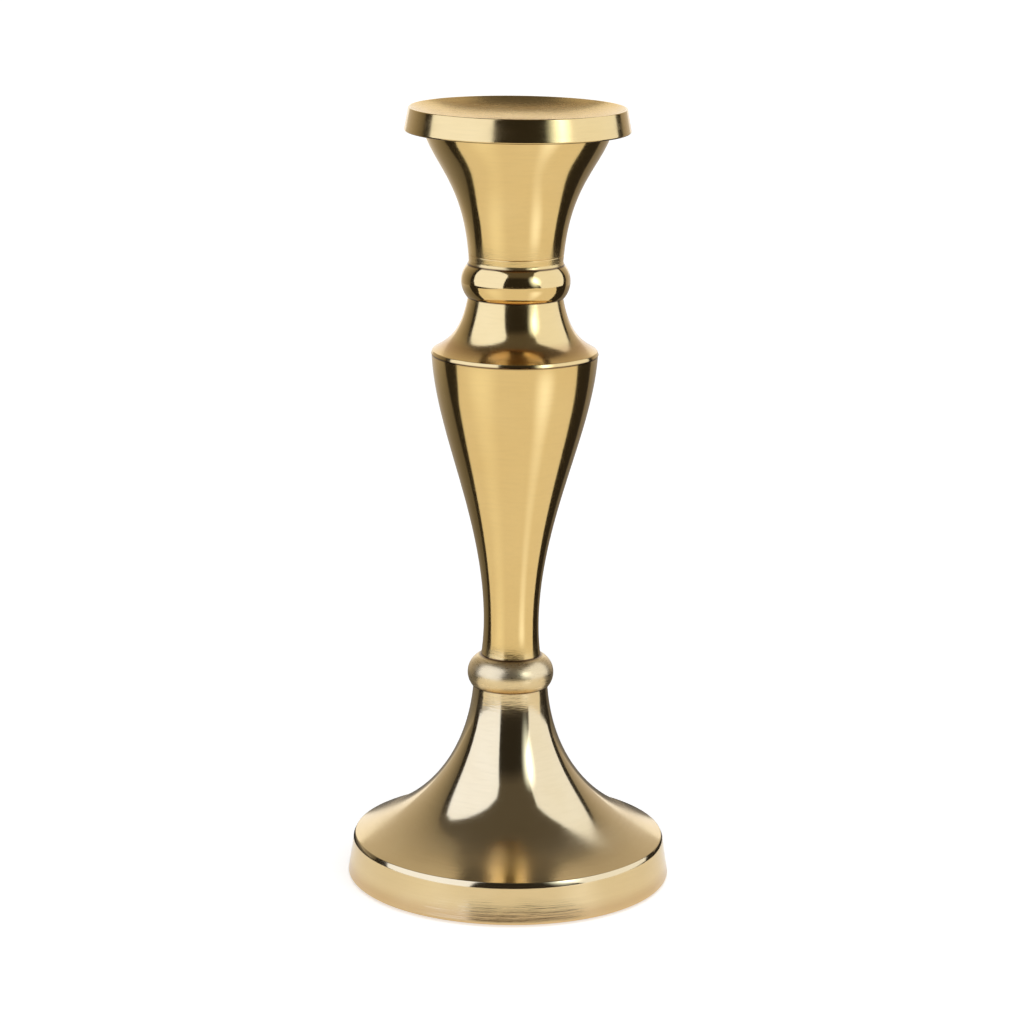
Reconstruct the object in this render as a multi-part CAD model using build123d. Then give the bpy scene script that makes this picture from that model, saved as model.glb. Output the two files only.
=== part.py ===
from build123d import *
import os
from math import ceil, cos, floor, pi, radians, sin, tan

# Brass candlestick: turned castings stacked on a base and clamped by one tie rod.
# Millimetres, +Z up, origin at the centre of the face it stands on.

# Base: a hollow flared foot, closed by a board with a felt pad under it.
felt_thick = 1.6
felt_proud = 0.6            # how far the felt stands below the metal rim
board_thick = 2.0
board_gap = 0.25            # board to rebate, on the radius
felt_inset = 0.4            # felt edge inside the board edge
rim_r = 50.2
rim_wall = 3.7              # metal outside the rebate, at the bottom
ledge_wide = 2.0            # shelf that the board seats on
rim_break = 0.5
band_high = 11.6
band_taper = 1.65           # how much smaller the band is at its top
bevel_lean = 25.0           # degrees off upright, for the bevel above the band
bevel_long = 1.15
bevel_edge_r = 0.4
flare_rise = 23.7           # degrees above level where the flare leaves the bevel
flare_pull = 12.9           # how far the flare keeps close to that slope
flare_waist = (1.22, 0.47)  # where the flare bends up, as shares of its top radius and height
flare_wall = 3.2
foot_high = 61.1
foot_top_r = 11.5
boss_up = 40.0              # underside of the boss, above the rim
boss_r = 9.8
hollow_pull = 14.0          # the same curve inside the hollow, up to the boss
hollow_waist_r = 13.3
hollow_waist_share = 0.45

# Knops
lower_knop_high = 9.75
lower_knop_r = 13.25
lower_knop_base_r = 12.0
lower_knop_top_r = 9.15
upper_knop_high = 10.0
upper_knop_r = 16.55
upper_knop_base_r = 14.85
upper_knop_top_r = 14.6

# Stem: a baluster, cored out from its wide top.
stem_high = 94.45
stem_base_r = 9.2
shoulder_r = 25.3
stem_neck = [(0.833, 0.107), (0.760, 0.376)]   # pulls on the curve, as shares of base radius and height
stem_belly = [(0.683, 0.598), (0.960, 0.806)]  # the same, as shares of shoulder radius and height
mouth_wall = 5.0
mouth_deep = 5.0
core_low_r = 8.5
core_low_up = 44.0          # where the core's cone starts, above the stem's base
core_tip_deep = 5.0

# Shoulder collar
collar_high = 17.6
collar_top_r = 14.4
lip_over = 0.15             # how far the lip stands out past the stem
lip_face = 0.6              # the lip's leaning face
lip_lean = 20.0             # degrees off upright
lip_break = 0.15
lip_edge_r = 0.45
collar_rise = 29.0          # degrees above level where the collar leaves its lip
collar_pull = 5.9           # how far the collar keeps close to that slope
collar_waist = (1.13, 0.4)  # where it bends up, as shares of its top radius and height
collar_core_r = 12.5        # cored out from below, to even the casting's walls
collar_core_top_r = 8.0
collar_core_deep = 13.0

# Candle cup
cup_high = 39.9
cup_base_r = 14.3
cup_fillet_r = 1.6          # the bell's base spreads on to the knop in a small hollow
cup_fillet_turn = 40.0
cup_top_r = 28.25
bell_waist = [(1.058, 0.300), (1.222, 0.623)]  # pulls on the curve, as shares of base radius and height
bell_flare = (0.888, 0.750)                    # the same, as shares of top radius and height
candle_r = 11.3             # bore for a 22 mm taper candle
candle_deep = 25.0
mouth_break = 0.4
nut_recess_r = 7.4
nut_recess_deep = 10.6
socket_wall = 2.6           # wall of the socket's neck, which the pan fits over
bell_rim = 4.5              # ring at the bell's top, which the pan seats on
bell_core_deep = 14.0       # cored out between the socket and the bell, under the pan
bell_core_floor = 1.6

# Drip pan
pan_high = 7.2
pan_r = 34.0
pan_lean = 10.3             # degrees off upright, for the band
pan_floor = 1.8             # thickness at the hole
pan_hole_gap = 0.1
pan_low_edge_r = 0.5
pan_top_edge_r = 0.4
pan_slope = 35.0            # degrees below level where the hollow leaves the rim
pan_slope_pull = 5.0        # how far the hollow keeps close to that slope
pan_flat_wide = 7.0         # nearly level ring round the hole

# Registers: a spigot on one piece centres the next.
register_gap = 0.1
register_deep = 3.0
register_relief = 0.3       # socket deeper than its spigot, so the shoulders seat
foot_spigot_r = 7.0
stem_spigot_r = 6.4
collar_spigot_r = 8.6
cup_spigot_r = 8.6

# Tie rod and its fastenings, 6 mm coarse thread
rod_r = 3.0
rod_hole_gap = 0.3
thread_pitch = 1.0
thread_long = 15.0
thread_gap = 0.06
rod_proud = 2.0             # rod past each nut
nut_across = 10.0
nut_high = 5.0
nut_face_r = 4.8            # flat ring left inside the nut's bevels
washer_hole_gap = 0.2
washer_thick = 1.6
cup_washer_r = 6.0
foot_washer_r = 9.0
spring_washer_r = 5.6
spring_washer_thick = 1.6
spring_washer_split = 0.8
spring_washer_slant = 30.0

# Heights of the joints, from the standing face up
foot_z = felt_proud
lower_knop_z = foot_z + foot_high
stem_z = lower_knop_z + lower_knop_high
collar_z = stem_z + stem_high
upper_knop_z = collar_z + collar_high
cup_z = upper_knop_z + upper_knop_high
pan_z = cup_z + cup_high
top_z = pan_z + pan_high
board_z = felt_thick
ledge_z = board_z + board_thick
boss_z = foot_z + boss_up
socket_top_z = pan_z + pan_floor
candle_floor_z = socket_top_z - candle_deep
nut_seat_z = candle_floor_z - nut_recess_deep

# Sizes that follow from the ones above
rod_hole_r = rod_r + rod_hole_gap
rebate_r = rim_r - rim_wall
socket_deep = register_deep + register_relief
mouth_r = shoulder_r - mouth_wall
socket_neck_r = candle_r + socket_wall
thread_root_r = rod_r - 5 / 8 * thread_pitch * sin(radians(60))
foot_washer_z = boss_z - washer_thick
spring_washer_z = foot_washer_z - spring_washer_thick
foot_nut_z = spring_washer_z - nut_high
cup_nut_z = nut_seat_z + washer_thick
rod_low_z = foot_nut_z - rod_proud
rod_high_z = cup_nut_z + nut_high + rod_proud


def turned(outside, inside):
    """Turn a section about Z. Both sides run from bottom to top, as (radius, height)."""
    edges = [edge for side in (outside, inside) for line in side for edge in line.edges()]
    ends = [(outside[0] @ 0, inside[0] @ 0), (outside[-1] @ 1, inside[-1] @ 1)]
    for a, b in ends:
        if (a - b).length > 1e-6:
            edges.append(Line(a, b).edge())
    return revolve(Plane.XZ * make_face(edges), Axis.Z)


def straight(*points):
    return Polyline(*points) if len(points) > 2 else Line(*points)


def heading(angle, length):
    return Vector(length * cos(radians(angle)), length * sin(radians(angle)))


def felt_pad():
    r = rebate_r - board_gap - felt_inset
    return turned([straight((r, 0), (r, felt_thick))], [straight((0, 0), (0, felt_thick))])


def base_board():
    r = rebate_r - board_gap
    return turned([straight((r, board_z), (r, ledge_z))], [straight((0, board_z), (0, ledge_z))])


def foot():
    band = Line((rim_r, foot_z + rim_break), (rim_r - band_taper, foot_z + band_high))
    bevel = Line(band @ 1, band @ 1 + heading(90 + bevel_lean, bevel_long))
    edge = JernArc(bevel @ 1, bevel % 1, bevel_edge_r, 90 - bevel_lean - flare_rise)
    start = edge @ 1
    waist_share, waist_up = flare_waist
    flare = Bezier(
        start,
        start + heading(180 - flare_rise, flare_pull),
        (waist_share * foot_top_r, foot_z + waist_up * foot_high),
        (foot_top_r, lower_knop_z),
    )
    spigot_z = lower_knop_z + register_deep
    outside = [
        straight((rim_r - rim_break, foot_z), (rim_r, foot_z + rim_break)),
        band,
        bevel,
        edge,
        flare,
        straight((foot_top_r, lower_knop_z), (foot_spigot_r, lower_knop_z), (foot_spigot_r, spigot_z)),
    ]
    hollow_r = rebate_r - ledge_wide
    drop = flare_wall / cos(radians(flare_rise))
    hollow_z = start.Y + (start.X - hollow_r) * tan(radians(flare_rise)) - drop
    hollow = Bezier(
        (hollow_r, hollow_z),
        Vector(hollow_r, hollow_z) + heading(180 - flare_rise, hollow_pull),
        (hollow_waist_r, hollow_z + hollow_waist_share * (boss_z - hollow_z)),
        (boss_r, boss_z),
    )
    inside = [
        straight((rebate_r, foot_z), (rebate_r, ledge_z), (hollow_r, ledge_z), (hollow_r, hollow_z)),
        hollow,
        straight((boss_r, boss_z), (rod_hole_r, boss_z), (rod_hole_r, spigot_z)),
    ]
    return turned(outside, inside)


def knop(z, high, base_r, middle_r, top_r, low_socket_r, high_socket_r):
    top = z + high
    bead = ThreePointArc((base_r, z), (middle_r, z + high / 2), (top_r, top))
    bore = straight(
        (low_socket_r, z),
        (low_socket_r, z + socket_deep),
        (rod_hole_r, z + socket_deep),
        (rod_hole_r, top - socket_deep),
        (high_socket_r, top - socket_deep),
        (high_socket_r, top),
    )
    return turned([bead], [bore])


def lower_knop():
    return knop(
        lower_knop_z, lower_knop_high, lower_knop_base_r, lower_knop_r, lower_knop_top_r,
        foot_spigot_r + register_gap, stem_spigot_r + register_gap,
    )


def upper_knop():
    return knop(
        upper_knop_z, upper_knop_high, upper_knop_base_r, upper_knop_r, upper_knop_top_r,
        collar_spigot_r + register_gap, cup_spigot_r + register_gap,
    )


def stem():
    spigot_z = stem_z - register_deep
    baluster = Bezier(
        (stem_base_r, stem_z),
        *[(r * stem_base_r, stem_z + up * stem_high) for r, up in stem_neck],
        *[(r * shoulder_r, stem_z + up * stem_high) for r, up in stem_belly],
        (shoulder_r, collar_z),
    )
    outside = [
        straight((stem_spigot_r, spigot_z), (stem_spigot_r, stem_z), (stem_base_r, stem_z)),
        baluster,
    ]
    core_z = stem_z + core_low_up
    bore = straight(
        (rod_hole_r, spigot_z),
        (rod_hole_r, core_z - core_tip_deep),
        (core_low_r, core_z),
        (mouth_r, collar_z - mouth_deep),
        (mouth_r, collar_z),
    )
    return turned(outside, [bore])


def shoulder_collar():
    plug_r = mouth_r - register_gap
    plug_z = collar_z - mouth_deep + register_relief
    lip_r = shoulder_r + lip_over
    face = Line((lip_r, collar_z + lip_break), Vector(lip_r, collar_z + lip_break) + heading(90 + lip_lean, lip_face))
    edge = JernArc(face @ 1, face % 1, lip_edge_r, 90 - lip_lean - collar_rise)
    start = edge @ 1
    waist_share, waist_up = collar_waist
    sweep = Bezier(
        start,
        start + heading(180 - collar_rise, collar_pull),
        (waist_share * collar_top_r, collar_z + waist_up * collar_high),
        (collar_top_r, upper_knop_z),
    )
    spigot_z = upper_knop_z + register_deep
    outside = [
        straight(
            (plug_r, plug_z),
            (plug_r, collar_z),
            (lip_r - lip_break, collar_z),
            (lip_r, collar_z + lip_break),
        ),
        face,
        edge,
        sweep,
        straight(
            (collar_top_r, upper_knop_z),
            (collar_spigot_r, upper_knop_z),
            (collar_spigot_r, spigot_z),
        ),
    ]
    core_z = plug_z + collar_core_deep
    bore = straight(
        (collar_core_r, plug_z),
        (collar_core_top_r, core_z),
        (rod_hole_r, core_z),
        (rod_hole_r, spigot_z),
    )
    return turned(outside, [bore])


def candle_cup():
    spigot_z = cup_z - register_deep
    core_z = pan_z - bell_core_deep
    fillet_top_z = cup_z + cup_fillet_r * sin(radians(cup_fillet_turn))
    fillet = JernArc((cup_base_r, fillet_top_z), (0, -1), cup_fillet_r, cup_fillet_turn)
    bell = Bezier(
        (cup_base_r, fillet_top_z),
        *[(r * cup_base_r, cup_z + up * cup_high) for r, up in bell_waist],
        (bell_flare[0] * cup_top_r, cup_z + bell_flare[1] * cup_high),
        (cup_top_r, pan_z),
    )
    outside = [
        straight((cup_spigot_r, spigot_z), (cup_spigot_r, cup_z), fillet @ 1),
        fillet,
        bell,
        straight(
            (cup_top_r, pan_z),
            (cup_top_r - bell_rim, pan_z),
            (socket_neck_r + bell_core_floor, core_z),
            (socket_neck_r, core_z),
            (socket_neck_r, socket_top_z),
        ),
    ]
    bore = straight(
        (rod_hole_r, spigot_z),
        (rod_hole_r, nut_seat_z),
        (nut_recess_r, nut_seat_z),
        (nut_recess_r, candle_floor_z),
        (candle_r, candle_floor_z),
        (candle_r, socket_top_z - mouth_break),
        (candle_r + mouth_break, socket_top_z),
    )
    return turned(outside, [bore])


def drip_pan():
    hole_r = socket_neck_r + pan_hole_gap
    band_low_z = pan_z + pan_low_edge_r
    band_high_z = top_z - pan_top_edge_r * (1 - sin(radians(pan_lean)))
    low_edge = JernArc((pan_r - pan_low_edge_r, pan_z), (1, 0), pan_low_edge_r, 90)
    band_top_r = pan_r - (band_high_z - band_low_z) * tan(radians(pan_lean))
    band = Line((pan_r, band_low_z), (band_top_r, band_high_z))
    high_edge = JernArc(band @ 1, band % 1, pan_top_edge_r, 90 + pan_slope - pan_lean)
    start = high_edge @ 1
    hollow = Bezier(
        start,
        start + heading(180 + pan_slope, pan_slope_pull),
        (hole_r + pan_flat_wide, socket_top_z),
        (hole_r, socket_top_z),
    )
    wall = straight((hole_r, pan_z), (hole_r, socket_top_z))
    return turned([low_edge, band, high_edge, hollow], [wall])


def thread(low_z, turns, grow):
    """Rings of a 60-degree thread, from a root at low_z up, as (radius, height)."""
    root = thread_root_r + grow
    crest = rod_r + grow
    points = []
    for turn in range(turns):
        z = low_z + turn * thread_pitch
        points += [
            (root, z),
            (root, z + thread_pitch / 8),
            (crest, z + thread_pitch * 7 / 16),
            (crest, z + thread_pitch * 9 / 16),
            (root, z + thread_pitch * 7 / 8),
        ]
    points.append((root, low_z + turns * thread_pitch))
    return points


def tie_rod():
    turns = round(thread_long / thread_pitch)
    high_thread_z = rod_high_z - turns * thread_pitch
    low_thread = thread(rod_low_z, turns, 0)
    high_thread = thread(high_thread_z, turns, 0)
    tip = rod_r - thread_root_r
    outside = [
        straight(
            (thread_root_r - tip, rod_low_z - tip),
            *low_thread,
            (rod_r, low_thread[-1][1]),
            (rod_r, high_thread_z),
            *high_thread,
            (thread_root_r - tip, rod_high_z + tip),
        ),
    ]
    return turned(outside, [straight((0, rod_low_z - tip), (0, rod_high_z + tip))])


def nut(z, rod_end_z):
    """Hexagon nut whose thread rings mesh with the rod's, which are counted from rod_end_z."""
    corner_r = nut_across / 2 / cos(pi / 6)
    bevel = (corner_r - nut_face_r) * tan(radians(30))
    bore_r = thread_root_r + thread_gap
    mouth_r = rod_r + 2 * thread_gap
    mouth_deep = mouth_r - bore_r
    outside = straight(
        (nut_face_r, z),
        (corner_r, z + bevel),
        (corner_r, z + nut_high - bevel),
        (nut_face_r, z + nut_high),
    )
    inside = straight(
        (mouth_r, z),
        (bore_r, z + mouth_deep),
        (bore_r, z + nut_high - mouth_deep),
        (mouth_r, z + nut_high),
    )
    hexagon = extrude(RegularPolygon(nut_across / 2, 6, major_radius=False), nut_high)
    low_ring_z = rod_end_z + floor((z - rod_end_z) / thread_pitch) * thread_pitch
    turns = ceil(nut_high / thread_pitch) + 1
    high_ring_z = low_ring_z + turns * thread_pitch
    rings = turned(
        [straight(*thread(low_ring_z, turns, thread_gap))],
        [straight((0, low_ring_z), (0, high_ring_z))],
    )
    return (Pos(0, 0, z) * hexagon & turned([outside], [inside])) - rings


def foot_nut():
    return nut(foot_nut_z, rod_low_z)


def cup_nut():
    return nut(cup_nut_z, rod_high_z)


def washer(z, r, thick):
    hole_r = rod_r + washer_hole_gap
    return turned([straight((r, z), (r, z + thick))], [straight((hole_r, z), (hole_r, z + thick))])


def foot_washer():
    return washer(foot_washer_z, foot_washer_r, washer_thick)


def cup_washer():
    return washer(nut_seat_z, cup_washer_r, washer_thick)


def spring_washer():
    ring = washer(spring_washer_z, spring_washer_r, spring_washer_thick)
    middle = Pos(spring_washer_r / 2, 0, spring_washer_z + spring_washer_thick / 2)
    cut = Box(spring_washer_r, spring_washer_split, 3 * spring_washer_thick)
    return ring - middle * Rot(spring_washer_slant, 0, 0) * cut


PIECES = [
    felt_pad, base_board, foot, lower_knop, stem, shoulder_collar, upper_knop, candle_cup,
    drip_pan, tie_rod, foot_nut, spring_washer, foot_washer, cup_washer, cup_nut,
]

os.makedirs("parts", exist_ok=True)
for piece in PIECES:
    export_step(piece(), f"parts/{piece.__name__}.step")
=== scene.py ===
import bmesh
import bpy
from math import atan2, cos, radians, sin, tan
from mathutils import Matrix, Vector


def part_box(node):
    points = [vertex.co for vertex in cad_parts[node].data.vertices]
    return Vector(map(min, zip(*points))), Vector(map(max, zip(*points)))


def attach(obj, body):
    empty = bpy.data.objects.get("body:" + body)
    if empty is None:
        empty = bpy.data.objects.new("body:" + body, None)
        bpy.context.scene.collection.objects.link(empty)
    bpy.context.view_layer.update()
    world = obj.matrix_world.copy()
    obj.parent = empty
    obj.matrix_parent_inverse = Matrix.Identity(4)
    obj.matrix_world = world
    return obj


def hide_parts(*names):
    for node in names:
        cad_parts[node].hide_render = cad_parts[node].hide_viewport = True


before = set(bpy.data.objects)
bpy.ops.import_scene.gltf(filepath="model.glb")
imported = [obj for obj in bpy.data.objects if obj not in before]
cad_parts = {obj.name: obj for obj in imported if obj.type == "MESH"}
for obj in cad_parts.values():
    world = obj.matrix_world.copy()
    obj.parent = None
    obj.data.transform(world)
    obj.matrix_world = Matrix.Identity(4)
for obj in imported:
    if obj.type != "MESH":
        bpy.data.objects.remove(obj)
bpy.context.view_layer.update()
mm = 0.001


# ---- Foot ----
# A hollow flared casting in pale brass, turned on a lathe. A tapered band and a narrow bevel run round it.
# It carries the whole stack, and its rim stands just clear of the table on the felt pad.

foot_low, foot_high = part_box("foot")
foot_top_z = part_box("lower_knop")[0].z
foot_top_r = 11.5 * mm
foot_spigot_r = 7 * mm
top_break = 0.15 * mm
rim_r = foot_high.x
rim_edge_r = 0.9 * mm
band_high = 11.6 * mm
band_taper = 1.65 * mm
band_hollow = Vector((-1.02 * mm, 6.3 * mm))    # pulls the band in a little, from the rim's outer corner
bevel_lean = 25                                 # degrees off upright
bevel_long = 1.15 * mm
bevel_edge_r = 0.4 * mm
flare_rise = 23.7                               # degrees above level where the flare starts
flare_pull = 12.9 * mm
flare_waist_r = 1.22 * foot_top_r
flare_waist_z = foot_low.z + 0.47 * (foot_top_z - foot_low.z)
flare_wall = 3.2 * mm
rebate_r = rim_r - 3.7 * mm
ledge_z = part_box("base_board")[1].z
ledge_wide = 2 * mm
boss_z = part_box("foot_washer")[1].z
boss_r = 9.8 * mm
hollow_pull = 14 * mm
hollow_waist_r = 13.3 * mm
hollow_waist_up = 0.45
rod_hole_r = 3.3 * mm
facets = 256
pale_brass = (0.80, 0.615, 0.33)


def pull(*points, steps):
    """Points along a smooth curve from the first point to the last, pulled by those between."""
    line = []
    for step in range(steps + 1):
        row = [Vector(point) for point in points]
        while len(row) > 1:
            row = [a.lerp(b, step / steps) for a, b in zip(row, row[1:])]
        line.append(row[0])
    return line


def swing(start, heading, radius, turn, steps=6):
    """Points along an arc that leaves start on a heading and turns left, in degrees."""
    across = heading + 90
    middle = Vector(start) + radius * Vector((cos(radians(across)), sin(radians(across))))
    line = []
    for step in range(steps + 1):
        angle = radians(across + 180 + turn * step / steps)
        line.append(middle + radius * Vector((cos(angle), sin(angle))))
    return line


def away(start, heading, length):
    """The point at a heading, in degrees, and a length from start."""
    return Vector(start) + length * Vector((cos(radians(heading)), sin(radians(heading))))


def node(tree, kind, links=(), **settings):
    """One node, with its settings and with its inputs set to numbers or linked to sockets."""
    made = tree.nodes.new(kind)
    for name, value in settings.items():
        setattr(made, name, value)
    for name, value in dict(links).items():
        if isinstance(value, bpy.types.NodeSocket):
            tree.links.new(value, made.inputs[name])
        else:
            made.inputs[name].default_value = value
    return made


def maths(tree, operation, *values, **settings):
    """The result of a maths node, from numbers or sockets."""
    return node(tree, "ShaderNodeMath", dict(enumerate(values)), operation=operation, **settings).outputs[0]


def vectors(tree, operation, *values):
    """The result of a vector maths node: a vector, or a number for a length or a dot product."""
    made = node(tree, "ShaderNodeVectorMath", dict(enumerate(values)), operation=operation)
    return made.outputs["Value" if operation in ("LENGTH", "DOT_PRODUCT") else "Vector"]


def lathe_tree():
    """Turns a closed section about Z: the section rides round a ring, offset by the ring's radius."""
    tree = bpy.data.node_groups.new("lathe", "GeometryNodeTree")
    side = tree.interface
    side.new_socket("Section", in_out="INPUT", socket_type="NodeSocketGeometry")
    side.new_socket("Facets", in_out="INPUT", socket_type="NodeSocketInt")
    side.new_socket("Ring radius", in_out="INPUT", socket_type="NodeSocketFloat")
    side.new_socket("Finish", in_out="INPUT", socket_type="NodeSocketMaterial")
    side.new_socket("Piece", in_out="OUTPUT", socket_type="NodeSocketGeometry")
    given = node(tree, "NodeGroupInput").outputs
    inward = maths(tree, "MULTIPLY", given["Ring radius"], -1)
    shift = node(tree, "ShaderNodeCombineXYZ", {"X": inward})
    section = node(tree, "GeometryNodeMeshToCurve", {"Mesh": given["Section"]})
    moved = node(tree, "GeometryNodeTransform", {
        "Geometry": section.outputs[0], "Translation": shift.outputs[0],
    })
    laid = node(tree, "GeometryNodeTransform", {
        "Geometry": moved.outputs[0], "Rotation": (radians(90), 0, 0),
    })
    ring = node(tree, "GeometryNodeCurvePrimitiveCircle", {
        "Resolution": given["Facets"], "Radius": given["Ring radius"],
    })
    swept = node(tree, "GeometryNodeCurveToMesh", {
        "Curve": ring.outputs[0], "Profile Curve": laid.outputs[0],
    })
    whole = node(tree, "GeometryNodeRealizeInstances", {"Geometry": swept.outputs[0]})
    done = node(tree, "GeometryNodeSetMaterial", {
        "Geometry": whole.outputs[0], "Material": given["Finish"],
    })
    node(tree, "NodeGroupOutput", {"Piece": done.outputs[0]})
    return tree


lathe = lathe_tree()


def firm(section, margin=0.08 * mm):
    """The section with a point close to each end of its long straight runs, so that they shade flat."""
    line = []
    count = len(section)
    for i, start in enumerate(section):
        end = section[(i + 1) % count]
        run = (end - start).length
        before = (start - section[i - 1]).length
        after = (section[(i + 2) % count] - end).length
        long = run > 6 * margin
        line.append(start)
        if long and before < run / 2:
            line.append(start.lerp(end, margin / run))
        if long and after < run / 2:
            line.append(end.lerp(start, margin / run))
    return line


def turned(name, section, finish):
    """A piece turned from a closed section of (radius, height) points, as a plain mesh."""
    section = firm(section)
    outline = bpy.data.meshes.new(name)
    count = len(section)
    sides = [(i, (i + 1) % count) for i in range(count)]
    outline.from_pydata([(r, 0, z) for r, z in section], sides, [])
    piece = bpy.data.objects.new(name, outline)
    bpy.context.scene.collection.objects.link(piece)
    work = piece.modifiers.new("lathe", "NODES")
    work.node_group = lathe
    sockets = {item.name: item.identifier for item in lathe.interface.items_tree}
    work[sockets["Facets"]] = facets
    work[sockets["Ring radius"]] = 20 * mm
    work[sockets["Finish"]] = finish
    view = bpy.context.evaluated_depsgraph_get()
    mesh = bpy.data.meshes.new_from_object(piece.evaluated_get(view))
    piece.modifiers.remove(work)
    piece.data = mesh
    shape = bmesh.new()
    shape.from_mesh(mesh)
    bmesh.ops.recalc_face_normals(shape, faces=shape.faces)
    shape.to_mesh(mesh)
    shape.free()
    mesh.shade_smooth()
    mesh.set_sharp_from_angle(angle=radians(28))
    return piece


def marks_group(name, numbers, result):
    """An empty material node group with number inputs and one number result."""
    tree = bpy.data.node_groups.new(name, "ShaderNodeTree")
    for number in numbers:
        tree.interface.new_socket(number, in_out="INPUT", socket_type="NodeSocketFloat")
    tree.interface.new_socket(result, in_out="OUTPUT", socket_type="NodeSocketFloat")
    return tree


def turning_marks_group():
    """Rings left by the lathe tool and the polishing cloth: long round the axis, thin across it."""
    tree = marks_group("turning_marks", ["Thickness", "Around", "Offset"], "Marks")
    given = node(tree, "NodeGroupInput").outputs
    place = node(tree, "ShaderNodeTexCoord").outputs["Object"]
    flat = vectors(tree, "MULTIPLY", place, (1, 1, 0))
    spread = node(tree, "ShaderNodeVectorMath", {
        0: vectors(tree, "NORMALIZE", flat), "Scale": given["Around"],
    }, operation="SCALE")
    parts = node(tree, "ShaderNodeSeparateXYZ", {0: place})
    up = maths(tree, "DIVIDE", parts.outputs["Z"], given["Thickness"])
    raised = node(tree, "ShaderNodeCombineXYZ", {"Z": maths(tree, "ADD", up, given["Offset"])})
    noise = node(tree, "ShaderNodeTexNoise", {
        "Vector": vectors(tree, "ADD", spread.outputs[0], raised.outputs[0]),
        "W": maths(tree, "DIVIDE", vectors(tree, "LENGTH", flat), given["Thickness"]),
        "Scale": 1, "Detail": 2, "Roughness": 0.6,
    }, noise_dimensions="4D")
    node(tree, "NodeGroupOutput", {"Marks": noise.outputs[0]})
    return tree


turning_marks = turning_marks_group()


def height_band_group():
    """A mask that is 1 at one height of the candlestick and fades to 0 within a reach above and below."""
    tree = marks_group("height_band", ["Height", "Reach"], "Mask")
    given = node(tree, "NodeGroupInput").outputs
    place = node(tree, "ShaderNodeTexCoord").outputs["Object"]
    parts = node(tree, "ShaderNodeSeparateXYZ", {0: place})
    off = maths(tree, "SUBTRACT", parts.outputs["Z"], given["Height"])
    fade = node(tree, "ShaderNodeMapRange", {
        "Value": maths(tree, "ABSOLUTE", off),
        "From Min": 0, "From Max": given["Reach"], "To Min": 1, "To Max": 0,
    }, interpolation_type="SMOOTHSTEP")
    node(tree, "NodeGroupOutput", {"Mask": fade.outputs[0]})
    return tree


height_band = height_band_group()


def group_use(tree, group, **numbers):
    """A node group placed in a material with its own numbers."""
    made = node(tree, "ShaderNodeGroup", node_tree=group)
    for name, value in numbers.items():
        made.inputs[name].default_value = value
    return made.outputs[0]


def height_mask(tree, bands):
    """The sum of height bands, each given as (height, reach, strength)."""
    total = 0
    for height, reach, strength in bands:
        band = group_use(tree, height_band, Height=height, Reach=reach)
        total = maths(tree, "MULTIPLY_ADD", band, strength, total)
    return total


def ranged(tree, value, start, end, low, high, **settings):
    """A value between start and end, turned into one between low and high."""
    return node(tree, "ShaderNodeMapRange", {
        "Value": value, "From Min": start, "From Max": end, "To Min": low, "To Max": high,
    }, **settings).outputs[0]


def blended(tree, share, first, second):
    """The first colour, or socket, changing into the second with a share from 0 to 1."""
    first, second = [
        colour if isinstance(colour, bpy.types.NodeSocket) else (*colour, 1) for colour in (first, second)
    ]
    mix = node(tree, "ShaderNodeMix", {"Factor": share, 6: first, 7: second}, data_type="RGBA")
    return mix.outputs[2]


def blank(name):
    """A new material, its empty node tree and the place on the object that its textures go by."""
    made = bpy.data.materials.new(name)
    made.use_nodes = True
    tree = made.node_tree
    tree.nodes.clear()
    return made, tree, node(tree, "ShaderNodeTexCoord").outputs["Object"]


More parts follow.
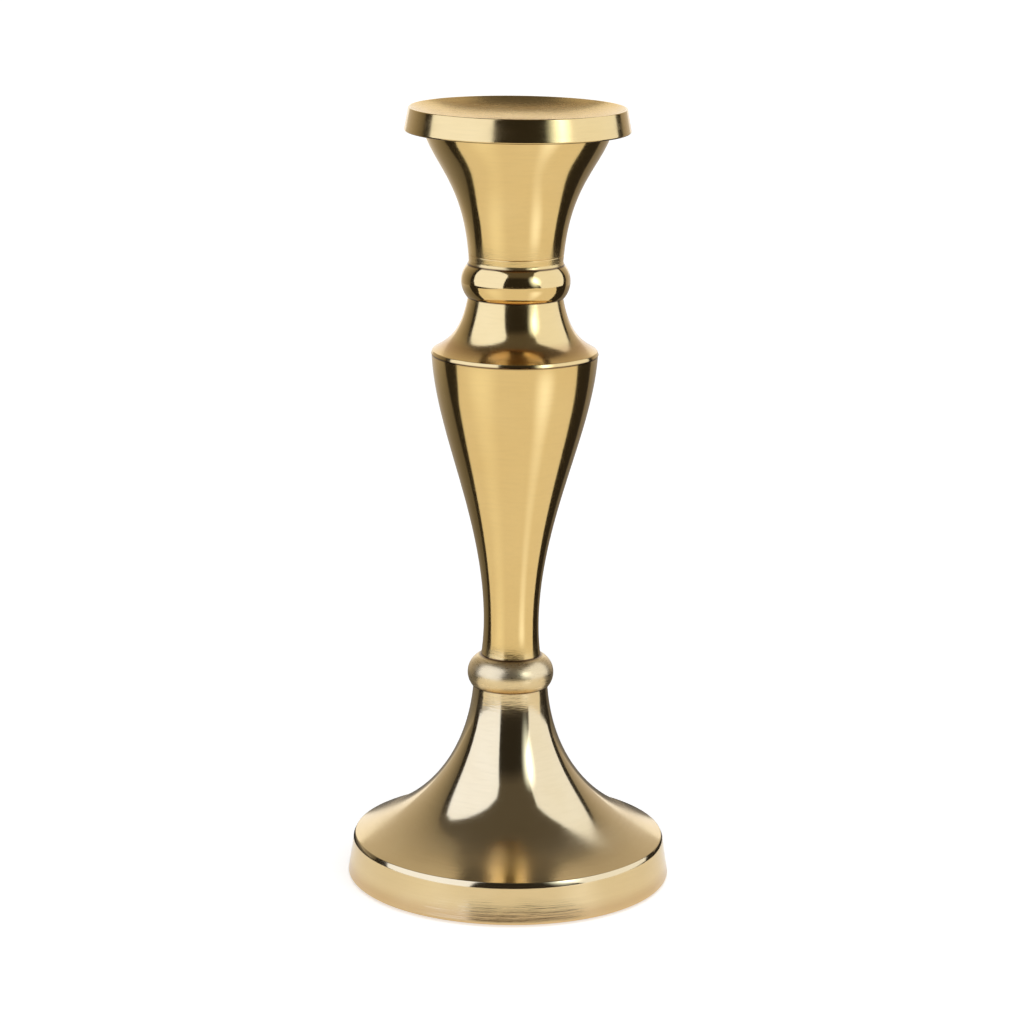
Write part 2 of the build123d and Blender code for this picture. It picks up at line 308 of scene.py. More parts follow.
def brass(name, colour, satin, fine_deep, brushed, seams, dulled=(), painted_brown_reflection=(), offset=0, hollow_r=0):
    """Turned brass. Fine rings everywhere, coarse brushed ones at the heights in brushed, where the buff
    didn't reach, a softer finish at those in dulled, brown painted at those in tarnished as a painted dark
    reflection, and dark brown at the seams, partly polish left in them and partly painted contact shade.
    Inside hollow_r it is left satin."""
    coarse_deep = 24e-6
    # How far and how strongly each seam is darkened: polish left in it, and painted contact shade.
    seam_reach, seam_polish_and_shade = 0.5 * mm, 0.9
    made, tree, place = blank(name)
    fine = group_use(tree, turning_marks, Thickness=0.25 * mm, Around=5, Offset=offset)
    coarse = group_use(tree, turning_marks, Thickness=0.6 * mm, Around=3.2, Offset=offset + 17)

    cloud = node(tree, "ShaderNodeTexNoise", {"Vector": place, "Scale": 70, "Detail": 2}).outputs[0]
    warmer = [part * share for part, share in zip(colour, (0.94, 0.90, 0.82))]
    tone = blended(tree, cloud, colour, warmer)
    tone = blended(tree, ranged(tree, coarse, 0.45, 0.7, 0, 0.05), tone, (0.42, 0.25, 0.10))
    # Brown painted at the heights in tarnished: a painted dark reflection.
    if painted_brown_reflection:
        tone = blended(tree, height_mask(tree, painted_brown_reflection), tone, (0.42, 0.18, 0.06))
    # Dark brown at each seam: partly polish left there, partly painted contact shade between the parts.
    polish_and_shade_mask = height_mask(tree, [(z, seam_reach, seam_polish_and_shade) for z in seams])
    tone = blended(tree, polish_and_shade_mask, tone, (0.10, 0.045, 0.02))

    patchy = node(tree, "ShaderNodeTexNoise", {"Vector": place, "Scale": 110, "Detail": 3}).outputs[0]
    patches = ranged(tree, patchy, 0.35, 0.6, 0.35, 1)
    brush = maths(tree, "MULTIPLY", height_mask(tree, brushed), patches)
    fine_height = maths(tree, "MULTIPLY", fine, fine_deep)
    brush_height = maths(tree, "MULTIPLY", brush, coarse_deep)
    height = maths(tree, "MULTIPLY_ADD", coarse, brush_height, fine_height)
    rings = node(tree, "ShaderNodeBump", {"Height": height, "Strength": 1, "Distance": 1})

    polish = ranged(tree, fine, 0.3, 0.7, 0.8 * satin, 1.3 * satin)
    rough = maths(tree, "MULTIPLY_ADD", brush, 0.06, polish)
    if dulled:
        rough = maths(tree, "ADD", height_mask(tree, dulled), rough)
    if hollow_r:
        radius = vectors(tree, "LENGTH", vectors(tree, "MULTIPLY", place, (1, 1, 0)))
        inside = ranged(tree, radius, hollow_r, hollow_r - 0.4 * mm, 0, 0.12, interpolation_type="SMOOTHSTEP")
        rough = maths(tree, "ADD", inside, rough)
    metal = node(tree, "ShaderNodeBsdfPrincipled", {
        "Base Color": tone, "Metallic": 1, "Roughness": rough, "Normal": rings.outputs[0],
    })
    node(tree, "ShaderNodeOutputMaterial", {"Surface": metal.outputs[0]})
    return made


band_top = Vector((rim_r - band_taper, foot_low.z + band_high))
band = pull(
    (rim_r, foot_low.z + rim_edge_r),
    Vector((rim_r, foot_low.z)) + band_hollow,
    band_top,
    steps=16,
)
bevel_top = away(band_top, 90 + bevel_lean, bevel_long)
bevel_edge = swing(bevel_top, 90 + bevel_lean, bevel_edge_r, 90 - bevel_lean - flare_rise)
flare_from = bevel_edge[-1]
flare = pull(
    flare_from,
    away(flare_from, 180 - flare_rise, flare_pull),
    (flare_waist_r, flare_waist_z),
    (foot_top_r, foot_top_z),
    steps=150,
)
hollow_r = rebate_r - ledge_wide
flare_drop = flare_wall / cos(radians(flare_rise))
hollow_z = flare_from.y + (flare_from.x - hollow_r) * tan(radians(flare_rise)) - flare_drop
hollow = pull(
    (hollow_r, hollow_z),
    away((hollow_r, hollow_z), 180 - flare_rise, hollow_pull),
    (hollow_waist_r, hollow_z + hollow_waist_up * (boss_z - hollow_z)),
    (boss_r, boss_z),
    steps=40,
)
foot = turned("foot_casting", [
    *swing((rim_r - rim_edge_r, foot_low.z), 0, rim_edge_r, 90),
    *band[1:],
    *bevel_edge,
    *flare[1:-1],
    Vector((foot_top_r, foot_top_z - top_break)),
    Vector((foot_top_r - top_break, foot_top_z)),
    Vector((foot_spigot_r, foot_top_z)),
    Vector((foot_spigot_r, foot_high.z)),
    Vector((rod_hole_r, foot_high.z)),
    Vector((rod_hole_r, boss_z)),
    *reversed(hollow),
    Vector((hollow_r, ledge_z)),
    Vector((rebate_r, ledge_z)),
    Vector((rebate_r, foot_low.z)),
], brass(
    "foot_brass", pale_brass, satin=0.09, fine_deep=3e-6, seams=[foot_top_z],
    brushed=[
        (foot_top_z, 14 * mm, 1.3), (18 * mm, 9 * mm, 0.6), (4 * mm, 7 * mm, 1.6), (30 * mm, 20 * mm, 0.15),
    ],
    # The band's lower part is painted brown, a painted dark reflection.
    dulled=[(18.5 * mm, 6 * mm, 0.1)], painted_brown_reflection=[(2.5 * mm, 4 * mm, 0.3)],
))
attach(foot, "root")
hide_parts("foot")


# ---- Lower knop ----
# A small round bead of the same pale brass, with a softer satin finish.
# It sits on the foot's spigot, and the stem's spigot drops into its top.

lower_z, lower_top_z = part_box("lower_knop")[0].z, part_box("lower_knop")[1].z
socket_deep = 3.3 * mm


def through(low, middle, high, steps=40):
    """Points along the arc through three points, the middle one half-way up."""
    low, middle, high = map(Vector, (low, middle, high))
    chord = high - low
    across = Vector((chord.y, -chord.x)).normalized()
    rise = (middle - low).dot(across)
    half = chord.length / 2
    along = (middle - low).dot(chord.normalized()) - half
    radius = (half * half - along * along - rise * rise) / (2 * rise)
    centre = (low + high) / 2 - across * radius
    size = (low - centre).length
    first = atan2(low.y - centre.y, low.x - centre.x)
    last = atan2(high.y - centre.y, high.x - centre.x)
    line = []
    for step in range(steps + 1):
        angle = first + (last - first) * step / steps
        line.append(centre + size * Vector((cos(angle), sin(angle))))
    return line


def knop(name, z, top_z, base_r, middle_r, top_r, low_socket_r, high_socket_r, finish):
    """A bead bored for the tie rod, with a socket at each end for the next piece's spigot."""
    return turned(name, [
        *through((base_r, z), (middle_r, (z + top_z) / 2), (top_r, top_z)),
        Vector((high_socket_r, top_z)),
        Vector((high_socket_r, top_z - socket_deep)),
        Vector((rod_hole_r, top_z - socket_deep)),
        Vector((rod_hole_r, z + socket_deep)),
        Vector((low_socket_r, z + socket_deep)),
        Vector((low_socket_r, z)),
    ], finish)


lower_knop = knop(
    "lower_knop_bead", lower_z, lower_top_z,
    base_r=12 * mm, middle_r=13.25 * mm, top_r=9.15 * mm, low_socket_r=7.1 * mm, high_socket_r=6.5 * mm,
    finish=brass(
        "lower_knop_brass", pale_brass, satin=0.27, fine_deep=5e-6, seams=[lower_z, lower_top_z],
        brushed=[(lower_z + 5 * mm, 12 * mm, 0.6)], offset=40,
    ),
)
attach(lower_knop, "root")
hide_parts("lower_knop")


# ---- Stem ----
# The baluster, cast in yellow brass, cored out from its wide top and polished on the lathe.
# Its spigot stands in the lower knop, and the collar's plug closes its mouth.

stem_z, stem_top_z = lower_top_z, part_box("stem")[1].z
stem_high = stem_top_z - stem_z
stem_base_r = 9.2 * mm
stem_spigot_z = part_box("stem")[0].z
stem_spigot_r = 6.4 * mm
shoulder_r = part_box("stem")[1].x
mouth_r = shoulder_r - 5 * mm
mouth_deep = 5 * mm
core_low_r = 8.5 * mm
core_low_z = stem_z + 44 * mm
core_tip_z = stem_z + 39 * mm
golden_brass = (0.80, 0.565, 0.23)

baluster = pull(
    (stem_base_r, stem_z),
    (0.833 * stem_base_r, stem_z + 0.107 * stem_high),
    (0.760 * stem_base_r, stem_z + 0.376 * stem_high),
    (0.683 * shoulder_r, stem_z + 0.598 * stem_high),
    (0.960 * shoulder_r, stem_z + 0.806 * stem_high),
    (shoulder_r, stem_top_z),
    steps=220,
)
stem = turned("stem_baluster", [
    Vector((stem_spigot_r, stem_spigot_z)),
    Vector((stem_spigot_r, stem_z)),
    *baluster,
    Vector((mouth_r, stem_top_z)),
    Vector((mouth_r, stem_top_z - mouth_deep)),
    Vector((core_low_r, core_low_z)),
    Vector((rod_hole_r, core_tip_z)),
    Vector((rod_hole_r, stem_spigot_z)),
], brass(
    "stem_brass", golden_brass, satin=0.11, fine_deep=2e-6, seams=[stem_z, stem_top_z],
    brushed=[(stem_z, 7 * mm, 2), (stem_top_z, 3 * mm, 0.3)], offset=90,
))
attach(stem, "root")
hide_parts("stem")


# ---- Shoulder collar ----
# A concave cap in yellow brass, plugged into the stem's mouth and turned to a thin rounded lip.
# The upper knop sits on the spigot at its top.

collar_z, neck_z = stem_top_z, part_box("upper_knop")[0].z
collar_low, collar_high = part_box("shoulder_collar")
neck_r = 14.4 * mm
collar_spigot_r = 8.6 * mm
plug_r = mouth_r - 0.1 * mm
lip_r = collar_high.x
lip_break = 0.15 * mm
lip_lean = 20                                   # degrees off upright, for the lip's face
lip_face_long = 0.9 * mm
lip_edge_r = 0.45 * mm
collar_rise = 29                                # degrees above level where the collar leaves its lip
collar_pull = 5.9 * mm
collar_core_r = 12.5 * mm
collar_core_top_r = 8 * mm
collar_core_z = collar_low.z + 13 * mm

lip_face = away((lip_r, collar_z + lip_break), 90 + lip_lean, lip_face_long)
lip = swing(lip_face, 90 + lip_lean, lip_edge_r, 90 - lip_lean - collar_rise)
sweep = pull(
    lip[-1],
    away(lip[-1], 180 - collar_rise, collar_pull),
    (1.13 * neck_r, collar_z + 0.4 * (neck_z - collar_z)),
    (neck_r, neck_z),
    steps=110,
)
collar = turned("shoulder_collar_cap", [
    Vector((plug_r, collar_low.z)),
    Vector((plug_r, collar_z)),
    Vector((lip_r - lip_break, collar_z)),
    Vector((lip_r, collar_z + lip_break)),
    *lip,
    *sweep[1:],
    Vector((collar_spigot_r, neck_z)),
    Vector((collar_spigot_r, collar_high.z)),
    Vector((rod_hole_r, collar_high.z)),
    Vector((rod_hole_r, collar_core_z)),
    Vector((collar_core_top_r, collar_core_z)),
    Vector((collar_core_r, collar_low.z)),
], brass(
    "collar_brass", golden_brass, satin=0.11, fine_deep=3e-6, seams=[collar_z, neck_z],
    brushed=[(collar_z + 5 * mm, 5 * mm, 0.9), (neck_z, 4 * mm, 0.9)],
    # The hollow just above the lip is painted brown, a painted dark reflection.
    dulled=[(collar_z + 3 * mm, 3 * mm, 0.05)], painted_brown_reflection=[(collar_z + 3.5 * mm, 3 * mm, 0.4)], offset=140,
))
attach(collar, "root")
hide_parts("shoulder_collar")


# ---- Upper knop ----
# A round bead in yellow brass between the collar and the candle cup.
# It is bored at both ends for their spigots, and highly polished.

upper_top_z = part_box("upper_knop")[1].z
upper_knop = knop(
    "upper_knop_bead", neck_z, upper_top_z,
    base_r=14.85 * mm, middle_r=16.55 * mm, top_r=14.6 * mm, low_socket_r=8.7 * mm, high_socket_r=8.7 * mm,
    finish=brass(
        "upper_knop_brass", golden_brass, satin=0.08, fine_deep=1.5e-6, seams=[neck_z, upper_top_z],
        brushed=[(upper_top_z, 3 * mm, 0.3)], offset=180,
    ),
)
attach(upper_knop, "root")
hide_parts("upper_knop")


# ---- Candle cup ----
# A flared bell in yellow brass, with the candle's socket bored down its middle.
# A nut in the recess below the socket clamps the whole stack on the tie rod.

cup_low, cup_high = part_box("candle_cup")
pan_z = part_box("drip_pan")[0].z
bell_high = pan_z - upper_top_z
cup_spigot_r = 8.6 * mm
cup_base_r = 14.3 * mm
cup_top_r = 28.25 * mm
fillet_r = 1.6 * mm
fillet_turn = 40                                # degrees
scribe_up = 2.9 * mm                            # a fine line round the bell, above its base
bell_rim = 4.5 * mm
bell_core_z = pan_z - 14 * mm
bell_core_floor = 1.6 * mm
candle_r = 11.3 * mm
candle_floor_z = cup_high.z - 25 * mm
mouth_break = 0.4 * mm
neck_wall_r = candle_r + 2.6 * mm
nut_recess_r = 7.4 * mm
nut_seat_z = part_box("cup_washer")[0].z

fillet_top_z = upper_top_z + fillet_r * sin(radians(fillet_turn))
fillet = swing((cup_base_r, fillet_top_z), 270, fillet_r, fillet_turn)
bell = pull(
    (cup_base_r, fillet_top_z),
    (1.058 * cup_base_r, upper_top_z + 0.300 * bell_high),
    (1.222 * cup_base_r, upper_top_z + 0.623 * bell_high),
    (0.888 * cup_top_r, upper_top_z + 0.750 * bell_high),
    (cup_top_r, pan_z),
    steps=150,
)


def scribed(line, height, wide=0.35 * mm, deep=0.1 * mm):
    """A side with a fine groove cut into it at one height."""
    low = [point for point in line if point.y < height - wide / 2]
    high = [point for point in line if point.y > height + wide / 2]
    side = low[-1].lerp(high[0], 0.5)
    groove = [(0, -wide / 2), (-deep, 0), (0, wide / 2)]
    return low + [Vector((side.x + out, height + up)) for out, up in groove] + high


cup = turned("candle_cup_bell", [
    Vector((cup_spigot_r, cup_low.z)),
    Vector((cup_spigot_r, upper_top_z)),
    *reversed(fillet),
    *scribed(bell[1:], upper_top_z + scribe_up),
    Vector((cup_top_r - bell_rim, pan_z)),
    Vector((neck_wall_r + bell_core_floor, bell_core_z)),
    Vector((neck_wall_r, bell_core_z)),
    Vector((neck_wall_r, cup_high.z)),
    Vector((candle_r + mouth_break, cup_high.z)),
    Vector((candle_r, cup_high.z - mouth_break)),
    Vector((candle_r, candle_floor_z)),
    Vector((nut_recess_r, candle_floor_z)),
    Vector((nut_recess_r, nut_seat_z)),
    Vector((rod_hole_r, nut_seat_z)),
    Vector((rod_hole_r, cup_low.z)),
], brass(
    "cup_brass", golden_brass, satin=0.11, fine_deep=2e-6, seams=[upper_top_z, pan_z],
    brushed=[(upper_top_z, 11 * mm, 2.6)], offset=220,
))
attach(cup, "root")
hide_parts("candle_cup")


# ---- Drip pan ----
# A saucer in yellow brass with a deep tapered band, polished outside and satin in its hollow.
# It fits over the neck of the candle socket and is soldered to the rim of the bell.

pan_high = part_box("drip_pan")[1]
pan_r = pan_high.x
hole_r = neck_wall_r + 0.1 * mm
pan_floor_z = cup_high.z
pan_low_edge_r = 0.5 * mm
pan_top_edge_r = 0.4 * mm
pan_lean = 10.3                                 # degrees off upright, for the band
pan_slope = 35                                  # degrees below level where the hollow leaves the rim
pan_slope_pull = 5 * mm
pan_flat_wide = 7 * mm

pan_band_low_z = pan_z + pan_low_edge_r
pan_band_high_z = pan_high.z - pan_top_edge_r * (1 - sin(radians(pan_lean)))
pan_band_top_r = pan_r - (pan_band_high_z - pan_band_low_z) * tan(radians(pan_lean))
low_edge = swing((pan_r - pan_low_edge_r, pan_z), 0, pan_low_edge_r, 90)
high_edge = swing(
    (pan_band_top_r, pan_band_high_z), 90 + pan_lean, pan_top_edge_r, 90 + pan_slope - pan_lean, steps=10,
)
dish = pull(
    high_edge[-1],
    away(high_edge[-1], 180 + pan_slope, pan_slope_pull),
    (hole_r + pan_flat_wide, pan_floor_z),
    (hole_r, pan_floor_z),
    steps=60,
)
pan = turned("drip_pan_saucer", [
    *low_edge,
    *high_edge,
    *dish[1:],
    Vector((hole_r, pan_z)),
], brass(
    "pan_brass", golden_brass, satin=0.11, fine_deep=2e-6, seams=[pan_z],
    brushed=[(pan_z + 3 * mm, 5 * mm, 0.9)], offset=270, hollow_r=high_edge[-1].x + 0.2 * mm,
))
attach(pan, "root")
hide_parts("drip_pan")


# ---- Tie rod, nuts and washers ----
# Zinc-plated steel: one threaded rod through the whole stack, a hexagon nut at each end,
# plain washers under both and a split spring washer inside the foot.


def zinc_steel():
    """Dull bluish plating with a fine grain and a few duller patches."""
    made, tree, place = blank("zinc_steel")
    patch = node(tree, "ShaderNodeTexNoise", {"Vector": place, "Scale": 220, "Detail": 4}).outputs[0]
    grain = node(tree, "ShaderNodeTexNoise", {"Vector": place, "Scale": 1800, "Detail": 2}).outputs[0]
    bump = node(tree, "ShaderNodeBump", {"Height": grain, "Strength": 0.4, "Distance": 0.05 * mm})
    metal = node(tree, "ShaderNodeBsdfPrincipled", {
        "Base Color": blended(tree, patch, (0.58, 0.59, 0.61), (0.40, 0.40, 0.39)),
        "Metallic": 1, "Roughness": ranged(tree, patch, 0, 1, 0.25, 0.45), "Normal": bump.outputs[0],
    })
    node(tree, "ShaderNodeOutputMaterial", {"Surface": metal.outputs[0]})
    return made


steel = zinc_steel()
for name in ("tie_rod", "foot_nut", "spring_washer", "foot_washer", "cup_washer", "cup_nut"):
    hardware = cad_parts[name]
    hardware.data.materials.clear()
    hardware.data.materials.append(steel)


# ---- Base board ----
# A disc of brown pressed fibre that closes the hollow foot, pushed up against a ledge.
# Only its edge could ever be seen, past the felt.


def fibre_board():
    """Brown fibres pressed flat, with darker blotches."""
    made, tree, place = blank("fibre_board")
    fibres = node(tree, "ShaderNodeTexNoise", {
        "Vector": place, "Scale": 900, "Detail": 5, "Distortion": 1.5,
    }).outputs[0]
    blotch = node(tree, "ShaderNodeTexNoise", {"Vector": place, "Scale": 60, "Detail": 3}).outputs[0]
    share = maths(tree, "MULTIPLY", fibres, blotch)
    bump = node(tree, "ShaderNodeBump", {"Height": fibres, "Strength": 0.5, "Distance": 0.1 * mm})
    pressed = node(tree, "ShaderNodeBsdfPrincipled", {
        "Base Color": blended(tree, share, (0.20, 0.12, 0.06), (0.40, 0.27, 0.15)),
        "Roughness": ranged(tree, fibres, 0, 1, 0.7, 0.9), "Normal": bump.outputs[0],
    })
    node(tree, "ShaderNodeOutputMaterial", {"Surface": pressed.outputs[0]})
    return made


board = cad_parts["base_board"]
board.data.materials.clear()
board.data.materials.append(fibre_board())


# ---- Felt pad ----
# A disc of black wool felt glued under the board, a little proud of the metal rim.
# Its knife-cut edge has rounded over, and its nap is short and uneven.

felt_low, felt_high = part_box("felt_pad")
felt_r = felt_high.x
felt_edge_r = 0.45 * mm
felt_top_edge_r = 0.1 * mm
felt_pin_r = 0.02 * mm                          # the lathe can't close a section on the axis itself


def wool_felt():
    """Short black nap over small tufts."""
    made, tree, place = blank("wool_felt")
    nap = node(tree, "ShaderNodeTexNoise", {
        "Vector": place, "Scale": 1500, "Detail": 6, "Distortion": 2,
    }).outputs[0]
    tuft = node(tree, "ShaderNodeTexVoronoi", {"Vector": place, "Scale": 700}).outputs[0]
    height = maths(tree, "ADD", nap, tuft)
    bump = node(tree, "ShaderNodeBump", {"Height": height, "Strength": 0.8, "Distance": 0.2 * mm})
    cloth = node(tree, "ShaderNodeBsdfPrincipled", {
        "Base Color": blended(tree, nap, (0.012, 0.012, 0.013), (0.05, 0.05, 0.055)),
        "Roughness": ranged(tree, nap, 0, 1, 0.85, 1), "Normal": bump.outputs[0],
        "Sheen Weight": 0.4, "Sheen Roughness": 0.5,
    })
    node(tree, "ShaderNodeOutputMaterial", {"Surface": cloth.outputs[0]})
    return made


felt = turned("felt_disc", [
    Vector((felt_pin_r, felt_low.z)),
    *swing((felt_r - felt_edge_r, felt_low.z), 0, felt_edge_r, 90),
    *swing((felt_r, felt_high.z - felt_top_edge_r), 90, felt_top_edge_r, 90, steps=3),
    Vector((felt_pin_r, felt_high.z)),
], wool_felt())
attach(felt, "root")
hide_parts("felt_pad")


# ---- Studio ----
# A large white table top, with two big soft boxes, one round lamp behind a diffuser, grey and black
# cards beside the object and a dim room round it all. Only the table shows behind the object.

box_distance = 1.15
lamp_distance = 1.0
card_distance = 0.9
backdrop_distance = 2.6


def glow(name, colour, strength):
    """An even light of one colour."""
    made, tree, _ = blank(name)
    light = node(tree, "ShaderNodeEmission", {"Color": (*colour, 1), "Strength": strength})
    node(tree, "ShaderNodeOutputMaterial", {"Surface": light.outputs[0]})
    return made


def ramp(name, colour, along, span, levels):
    """A light that changes along one direction, from the first level to the last over a span of it."""
    made, tree, place = blank(name)
    level = ranged(tree, vectors(tree, "DOT_PRODUCT", place, along), *span, *levels)
    light = node(tree, "ShaderNodeEmission", {"Color": (*colour, 1), "Strength": level})
    node(tree, "ShaderNodeOutputMaterial", {"Surface": light.outputs[0]})
    return made


def reflected_only(made):
    """A part of the set that shows only in the metal: no camera ray and no table sees it."""
    made.visible_camera = False
    made.visible_diffuse = False
    made.visible_shadow = False


def panel(name, corners, finish):
    """A flat panel of the set."""
    mesh = bpy.data.meshes.new(name)
    mesh.from_pydata(corners, [], [range(len(corners))])
    mesh.materials.append(finish)
    made = bpy.data.objects.new(name, mesh)
    bpy.context.scene.collection.objects.link(made)
    reflected_only(made)


def standing(name, facing, distance, outline, finish, middle_z=0.15):
    """A panel square to a bearing, its outline given as (bearing, elevation) seen from the object."""
    corners = []
    for bearing, elevation in outline:
        reach = distance / cos(radians(bearing - facing))
        at = radians(bearing)
        corners.append((reach * sin(at), -reach * cos(at), middle_z + reach * tan(radians(elevation))))
    panel(name, corners, finish)


def lying(name, outline, finish, height=0.4 * mm):
    """A panel just above the table."""
    panel(name, [(x, y, height) for x, y in outline], finish)


def card(name, facing, outline, colour, edges, levels):
    """A grey card, darker along its front edge, whose bearing comes first in edges."""
    at = radians(facing)
    span = [card_distance * tan(radians(bearing - facing)) for bearing in edges]
    paper = ramp(name + "_paper", colour, (cos(at), sin(at), 0), span, levels)
    standing(name, facing, card_distance, outline, paper, middle_z=0.01)


standing("soft_box_left", -62, box_distance, [
    (-94, -9), (-110, 43), (-107, 49), (-90, 56), (-60, 60), (-45, 59.5), (-25, 54), (-21, 45), (-26, 4),
    (-27, -9),
], glow("soft_box_left_cloth", (0.54, 0.64, 0.97), 2.2))
standing("soft_box_right", 88, box_distance, [
    (116, -9), (137, 44), (120, 50), (100, 54), (60, 55), (45, 42), (38, 22), (52, 3), (56, -9),
], glow("soft_box_right_cloth", (0.66, 0.75, 1.0), 1.65))
card("grey_card_left", -132, [(-110, 0), (-110, 22), (-118, 45), (-118, 64), (-155, 64), (-155, 0)],
     (1.0, 0.93, 0.82), (-112, -152), (0.16, 0.62))
card("grey_card_right", 144, [(131, 0), (158, 0), (158, 64), (138, 64), (134, 48)],
     (1.0, 0.93, 0.84), (133, 156), (0.34, 0.66))
standing("white_backdrop", 180, backdrop_distance, [(152, -4), (208, -4), (208, 36), (152, 36)],
         glow("white_cloth", (1.0, 1.0, 1.0), 1.15))
standing("tan_backdrop", 180, backdrop_distance + 0.1, [(136, 36), (224, 36), (224, 72), (136, 72)],
         glow("tan_wall", (1.0, 0.84, 0.68), 0.52))

black = (1.0, 0.9, 0.8)
lying("black_cloth", [
    (-0.72, -0.045), (-0.41, -0.015), (-0.32, 0.009), (-0.19, 0.02), (0.075, 0.045), (0.2, 0.052),
    (0.35, 0.065), (1.25, 0.08), (1.25, -1.3), (3.1, -1.3), (3.1, 3.1), (-3.1, 3.1), (-3.1, -1.3),
    (-0.72, -1.3),
], glow("black_cloth", black, 0.03))
lying("black_cloth_front", [(-3.1, -1.3), (3.1, -1.3), (3.1, -3.1), (-3.1, -3.1)],
      glow("black_cloth_front", black, 0.03))
lying("grey_cloth_left", [
    (0, 0.09), (-0.10, 0.05), (-0.20, 0.067), (-0.264, 0.093), (-0.341, 0.121), (-0.466, 0.182),
    (-1.9, 0.9), (-1.9, 3.0), (0, 3.0),
], ramp("pale_cloth", (1.0, 0.96, 0.90), (0, 1, 0), (0.1, 1.2), (0.15, 0.95)), height=0.6 * mm)
lying("grey_cloth_right", [
    (0, 0.09), (0, 3.0), (1.9, 3.0), (1.9, 1.62), (0.462, 0.405), (0.38, 0.35), (0.3, 0.3),
    (0.219, 0.247), (0.184, 0.2), (0.08, 0.1),
], ramp("grey_cloth", (1.0, 0.94, 0.86), (0, 1, 0), (0.1, 1.4), (0.13, 0.62)), height=0.6 * mm)

wall = 3.2
ceiling_z = 3.6
room = bmesh.new()
bmesh.ops.create_cube(room, size=2 * wall, matrix=Matrix.Translation((0, 0, ceiling_z - wall)))
bmesh.ops.reverse_faces(room, faces=room.faces)
room_mesh = bpy.data.meshes.new("room")
room.to_mesh(room_mesh)
room.free()
room_mesh.materials.append(ramp("room_wall", (1.0, 0.93, 0.86), (0, 0, 1), (2.4, ceiling_z), (0.03, 0.11)))
room_walls = bpy.data.objects.new("room", room_mesh)
bpy.context.scene.collection.objects.link(room_walls)
reflected_only(room_walls)


def fading(tree, far, colour, strength):
    """Light added to whatever lies behind, full where far is 0 and gone where it reaches 1."""
    level = ranged(tree, far, 1, 0, 0, strength, interpolation_type="SMOOTHSTEP")
    light = node(tree, "ShaderNodeEmission", {"Color": (*colour, 1), "Strength": level})
    clear = node(tree, "ShaderNodeBsdfTransparent")
    both = node(tree, "ShaderNodeAddShader", {0: light.outputs[0], 1: clear.outputs[0]})
    node(tree, "ShaderNodeOutputMaterial", {"Surface": both.outputs[0]})


def from_middle(tree, sideways, lengthways):
    """How far a place is from the middle of an oval, given as its two shares of the half-widths."""
    share = node(tree, "ShaderNodeCombineXYZ", {"X": sideways, "Y": lengthways})
    return vectors(tree, "LENGTH", share.outputs[0])


def round_glow(name, bearing, middle_z, wide, high, colour, strength):
    """The round lamp behind its diffuser, brightest at its middle, square to a bearing."""
    made, tree, place = blank(name)
    at = radians(bearing)
    middle = Vector((lamp_distance * sin(at), -lamp_distance * cos(at), middle_z))
    off = vectors(tree, "SUBTRACT", place, middle)
    side = vectors(tree, "DOT_PRODUCT", off, (cos(at) / wide, sin(at) / wide, 0))
    lift = vectors(tree, "DOT_PRODUCT", off, (0, 0, 1 / high))
    fading(tree, from_middle(tree, side, lift), colour, strength)
    return made


def soft_glow(name, bearing, middle, long, wide, colour, strength):
    """A streak of light on the table that points at the object, widening away from it."""
    made, tree, place = blank(name)
    at = radians(bearing)
    along = vectors(tree, "DOT_PRODUCT", place, (sin(at), -cos(at), 0))
    across = vectors(tree, "DOT_PRODUCT", place, (cos(at), sin(at), 0))
    length = maths(tree, "DIVIDE", maths(tree, "SUBTRACT", along, middle), long / 2)
    width = maths(tree, "DIVIDE", across, maths(tree, "MULTIPLY", along, tan(radians(wide / 2))))
    fading(tree, from_middle(tree, length, width), colour, strength)
    return made


standing("lamp", 43, lamp_distance, [(25, -5), (61, -5), (61, 58), (25, 58)],
         round_glow("lamp_diffuser", 43, 0.62, 0.3, 0.62, (0.6, 0.75, 1.0), 3.4))
lying("lamp_on_table", [(0.03, -0.03), (0.75, -0.20), (0.75, -0.95), (0.25, -0.75), (0.02, -0.06)],
      soft_glow("lamp_sheen", 45, 0.34, 0.62, 40, (0.5, 0.65, 1.0), 0.9), height=0.5 * mm)
lying("soft_box_on_table", [(-0.05, -0.03), (-0.68, -0.05), (-0.68, -0.9), (-0.1, -0.9), (-0.02, -0.06)],
      soft_glow("soft_box_sheen", -48, 0.4, 0.9, 60, (0.7, 0.85, 1.0), 0.28), height=0.5 * mm)


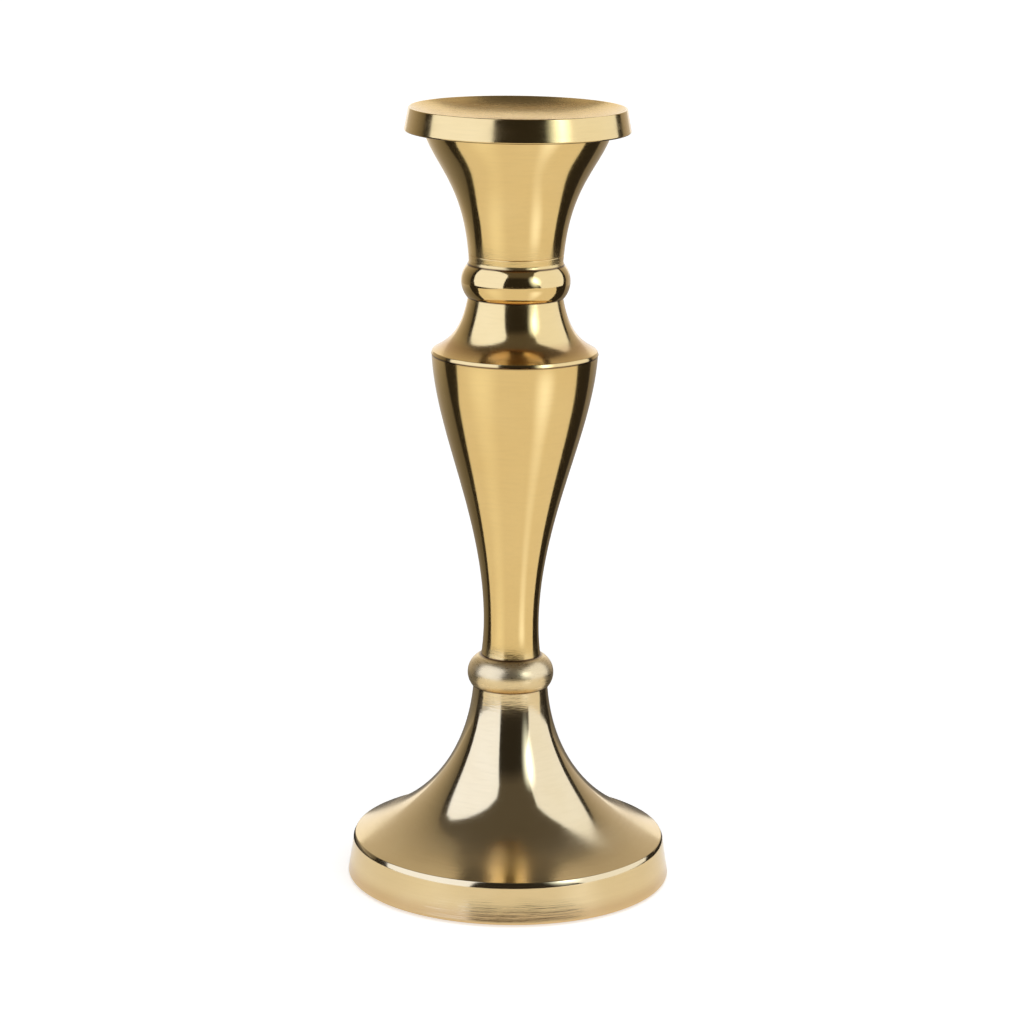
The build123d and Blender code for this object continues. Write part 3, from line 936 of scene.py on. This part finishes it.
def table_top():
    """White laminate. It glows a little to the eye and less in the metal, and takes the shadow."""
    to_eye, to_metal = 0.6, 0.45
    made, tree, _ = blank("table_top")
    ray = node(tree, "ShaderNodeLightPath").outputs
    seen = maths(tree, "ADD", ray["Is Camera Ray"], ray["Is Transmission Ray"])
    level = maths(tree, "MULTIPLY_ADD", ray["Is Glossy Ray"], to_metal, maths(tree, "MULTIPLY", seen, to_eye))
    plain = node(tree, "ShaderNodeBsdfDiffuse", {"Color": (0.8, 0.8, 0.8, 1)})
    shine = node(tree, "ShaderNodeEmission", {"Color": (1, 1, 1, 1), "Strength": level})
    both = node(tree, "ShaderNodeAddShader", {0: plain.outputs[0], 1: shine.outputs[0]})
    node(tree, "ShaderNodeOutputMaterial", {"Surface": both.outputs[0]})
    return made


reach = 9
corners = [(-reach, -reach, 0), (reach, -reach, 0), (reach, reach, 0), (-reach, reach, 0)]
table_mesh = bpy.data.meshes.new("table")
table_mesh.from_pydata(corners, [], [(0, 1, 2, 3)])
table_mesh.materials.append(table_top())
table = bpy.data.objects.new("table", table_mesh)
bpy.context.scene.collection.objects.link(table)

overhead = bpy.data.lights.new("overhead", "SUN")
overhead.energy = 1.9
overhead.angle = radians(80)
overhead_lamp = bpy.data.objects.new("overhead", overhead)
overhead_lamp.rotation_euler = (radians(12), radians(8), 0)
overhead_lamp.visible_glossy = False
bpy.context.scene.collection.objects.link(overhead_lamp)

sky = bpy.data.worlds.new("studio_air")
sky.use_nodes = True
bpy.context.scene.world = sky
air = sky.node_tree
air.nodes.clear()
ray = node(air, "ShaderNodeLightPath").outputs
seen = maths(air, "ADD", ray["Is Camera Ray"], ray["Is Glossy Ray"])
white = maths(air, "ADD", seen, ray["Is Transmission Ray"], use_clamp=True)
backdrop = node(air, "ShaderNodeBackground", {"Color": (1, 1, 1, 1), "Strength": white})
node(air, "ShaderNodeOutputWorld", {"Surface": backdrop.outputs[0]})


# ---- Camera ----
# A long lens a little above the candlestick's top, looking slightly down at its middle.

look_down = 13.383                              # degrees below level
roll = 0.77
lens = bpy.data.cameras.new("camera")
lens.sensor_width = 36
lens.lens = 112.87
lens.clip_start, lens.clip_end = 0.01, 50
camera = bpy.data.objects.new("camera", lens)
camera.matrix_world = (
    Matrix.Translation((-0.0002, -0.9593, 0.3447))
    @ Matrix.Rotation(radians(90 - look_down), 4, "X")
    @ Matrix.Rotation(radians(roll), 4, "Z")
)
bpy.context.scene.collection.objects.link(camera)
bpy.context.scene.camera = camera
bpy.context.scene.view_settings.view_transform = "Standard"
